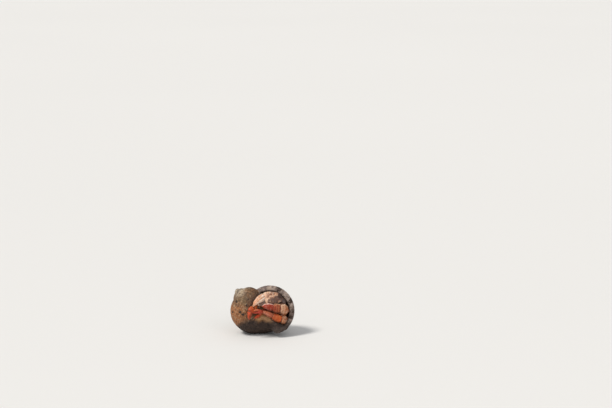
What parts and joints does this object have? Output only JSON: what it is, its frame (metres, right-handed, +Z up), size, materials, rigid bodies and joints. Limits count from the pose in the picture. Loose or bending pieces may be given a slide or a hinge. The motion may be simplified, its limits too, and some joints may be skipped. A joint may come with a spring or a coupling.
{
  "type": "hermit crab in a turban shell",
  "caption": "Small land hermit crab drawn back into a worn turban shell, its large claw and folded red and orange legs filling the shell's mouth, as a still life-size model.",
  "frame": {"origin": "on the floor, under the middle of the model's box", "axes": "+Z up, -Y the way the crab and the shell's mouth face, +X the crab's left"},
  "size_m": [0.0282, 0.022, 0.0218],
  "materials": {
    "shell": "worn, chalky shell",
    "large_claw": "granular horny shell",
    "small_claw": "granular horny shell",
    "leg": "satin horny shell",
    "shield": "satin horny shell",
    "feeler": "satin horny shell",
    "eye": "glossy",
    "soft": "soft skin"
  },
  "bodies": {
    "root": {"abdomen": "soft", "large_claw_arm": "leg", "large_claw_finger": "large_claw", "large_claw_palm": "large_claw", "large_claw_wrist": "large_claw", "left_eye": "eye", "left_eyestalk": "feeler", "left_feeler_lash": "feeler", "left_feeler_stem": "feeler", "left_leg_1_carpus": "leg", "left_leg_1_dactyl": "leg", "left_leg_1_merus": "leg", "left_leg_1_propodus": "leg", "left_leg_2_carpus": "leg", "left_leg_2_dactyl": "leg", "left_leg_2_merus": "leg", "left_leg_2_propodus": "leg", "left_leg_3": "leg", "left_leg_4": "leg", "left_mouthpart": "feeler", "left_short_feeler": "feeler", "right_eye": "eye", "right_eyestalk": "feeler", "right_feeler_lash": "feeler", "right_feeler_stem": "feeler", "right_leg_1_carpus": "leg", "right_leg_1_dactyl": "leg", "right_leg_1_merus": "leg", "right_leg_1_propodus": "leg", "right_leg_2_carpus": "leg", "right_leg_2_dactyl": "leg", "right_leg_2_merus": "leg", "right_leg_2_propodus": "leg", "right_leg_3": "leg", "right_leg_4": "leg", "right_mouthpart": "feeler", "right_short_feeler": "feeler", "shell": "shell", "shield": "shield", "small_claw_arm": "leg", "small_claw_finger": "small_claw", "small_claw_palm": "small_claw", "small_claw_wrist": "small_claw", "tail": "shield", "thorax": "soft"}
  },
  "joints": []
}
